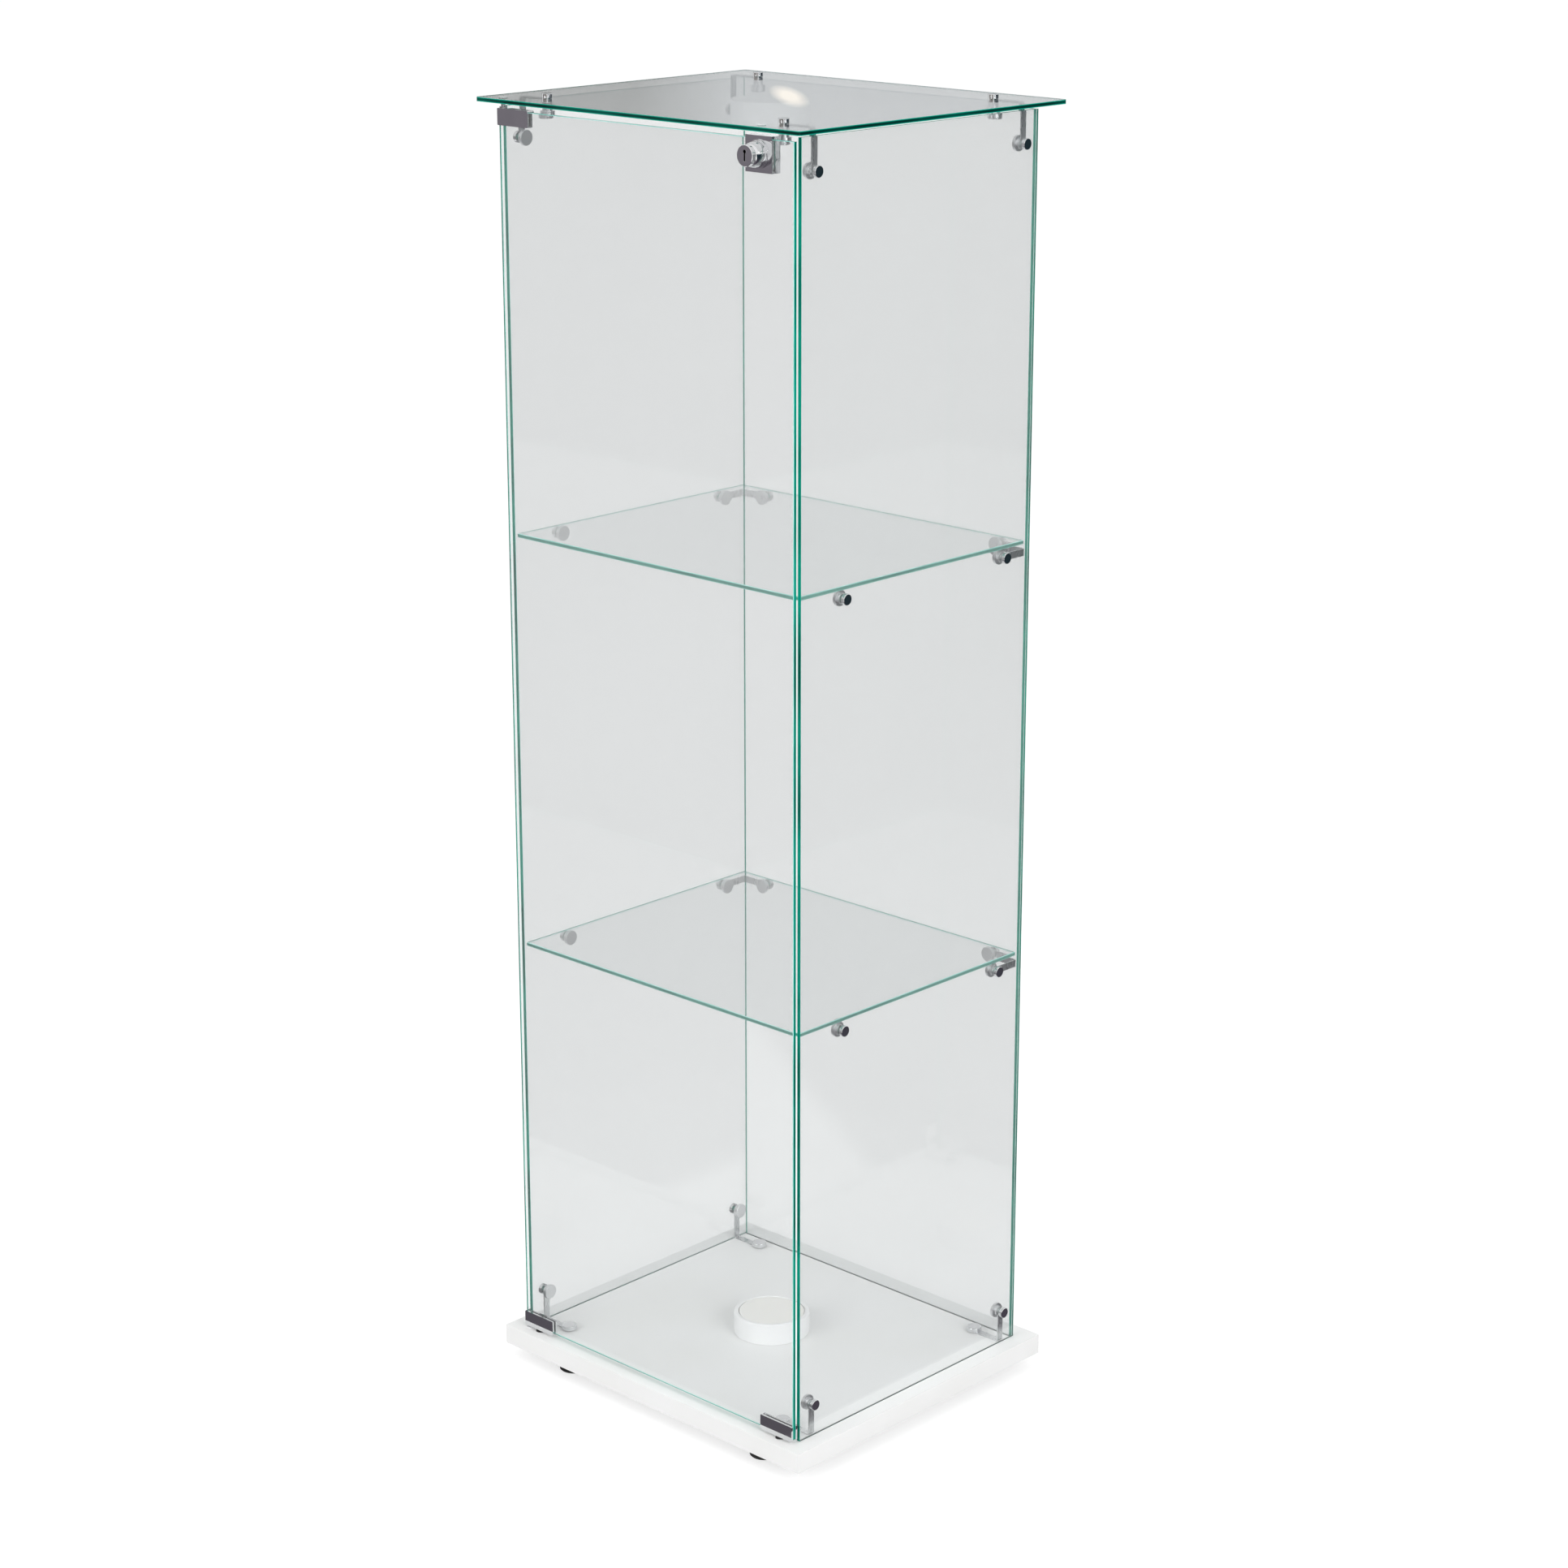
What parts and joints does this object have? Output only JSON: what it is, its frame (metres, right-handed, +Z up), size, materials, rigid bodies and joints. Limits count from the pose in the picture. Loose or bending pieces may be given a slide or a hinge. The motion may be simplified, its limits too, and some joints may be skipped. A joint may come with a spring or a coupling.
{
  "type": "glass display cabinet",
  "caption": "Free-standing glass display cabinet with two shelves, a lockable pivot door, chrome corner fittings and push lights on a white base.",
  "frame": {"origin": "on the floor under the middle of the base board, which is also the middle of the overall box to within half the reach of the lock", "axes": "+Z up, -Y towards the front where the door is, +X towards the side with the lock"},
  "size_m": [0.4, 0.3552, 1.2459],
  "materials": {
    "glass": "polished clear float glass with green edges",
    "white_laminate": "satin white laminate",
    "black_rubber": "matte",
    "magnet_black": "matte",
    "zinc": "zinc plated",
    "bracket_chrome": "satin chrome",
    "fitting_chrome": "polished chrome",
    "clamp_chrome": "polished chrome",
    "lock_chrome": "polished chrome",
    "steel": "bright turned steel",
    "white_nylon": "semi-matte",
    "light_plastic": "white semi-gloss",
    "light_lens": "frosted white",
    "circuit_board": "solder resist",
    "battery_cell": "printed wrap, unmarked"
  },
  "bodies": {
    "cabinet": {"base_board": "white_laminate", "feet": "black_rubber", "foot_screws": "zinc", "left_side_panel": "glass", "right_side_panel": "glass", "back_panel": "glass", "top_panel": "glass", "lower_shelf": "glass", "upper_shelf": "glass", "top_bracket_front_left": "bracket_chrome", "top_bracket_front_right": "bracket_chrome", "top_bracket_rear_left": "bracket_chrome", "top_bracket_rear_right": "bracket_chrome", "base_bracket_front_left": "bracket_chrome", "base_bracket_front_right": "bracket_chrome", "base_bracket_rear_left": "bracket_chrome", "base_bracket_rear_right": "bracket_chrome", "lower_shelf_bracket_left": "bracket_chrome", "lower_shelf_bracket_right": "bracket_chrome", "upper_shelf_bracket_left": "bracket_chrome", "upper_shelf_bracket_right": "bracket_chrome", "top_panel_bolts": "fitting_chrome", "top_panel_nuts": "fitting_chrome", "corner_bolts": "fitting_chrome", "corner_nuts": "fitting_chrome", "shelf_bolts": "fitting_chrome", "shelf_nuts": "fitting_chrome", "base_bracket_screws": "fitting_chrome", "top_pivot_bushing": "white_nylon", "bottom_pivot_bushing": "white_nylon", "catch_magnet": "magnet_black", "hinge_rest_pad": "black_rubber", "lock_keeper": "white_nylon", "lower_light_housing": "light_plastic", "lower_light_base": "light_plastic", "lower_light_board": "circuit_board", "lower_light_cells": "battery_cell", "upper_light_housing": "light_plastic", "upper_light_base": "light_plastic", "upper_light_board": "circuit_board", "upper_light_cells": "battery_cell"},
    "door": {"door_panel": "glass", "top_hinge_clamp": "clamp_chrome", "bottom_hinge_clamp": "clamp_chrome", "strike_clamp": "clamp_chrome", "clamp_grub_screws": "zinc", "top_pivot_pin": "steel", "bottom_pivot_pin": "steel", "lock_case": "lock_chrome", "lock_back_plate": "lock_chrome", "lock_case_screws": "zinc", "lock_collar": "lock_chrome"},
    "lock_cylinder": {"lock_cylinder": "lock_chrome"},
    "lock_bolt": {"lock_bolt": "steel"},
    "lower_light_lens": {"lower_light_lens": "light_lens"},
    "upper_light_lens": {"upper_light_lens": "light_lens"}
  },
  "joints": [
    {"name": "door_swing", "type": "hinge", "parent": "cabinet", "child": "door", "pos_m": [-0.1782, -0.1602, 0.034], "axis": [0, 0, 1], "range_deg": [-170, 0]},
    {"name": "lock_turn", "type": "hinge", "parent": "door", "child": "lock_cylinder", "pos_m": [0.1435, -0.1622, 1.2181], "axis": [0, -1, 0], "range_deg": [0, 90]},
    {"name": "bolt_throw", "type": "slide", "parent": "door", "child": "lock_bolt", "axis": [0, 0, 1], "range_m": [0, 0.008]},
    {"name": "lower_light_press", "type": "slide", "parent": "cabinet", "child": "lower_light_lens", "axis": [0, 0, -1], "range_m": [0, 0.0015], "stiffness_N_per_m": 1000, "springref_m": -0.002},
    {"name": "upper_light_press", "type": "slide", "parent": "cabinet", "child": "upper_light_lens", "axis": [0, 0, 1], "range_m": [0, 0.0015], "stiffness_N_per_m": 1000, "springref_m": -0.002}
  ],
  "couplings": [
    {"joint": "lock_turn", "follows": "bolt_throw", "rad_per_m": 196.35}
  ]
}
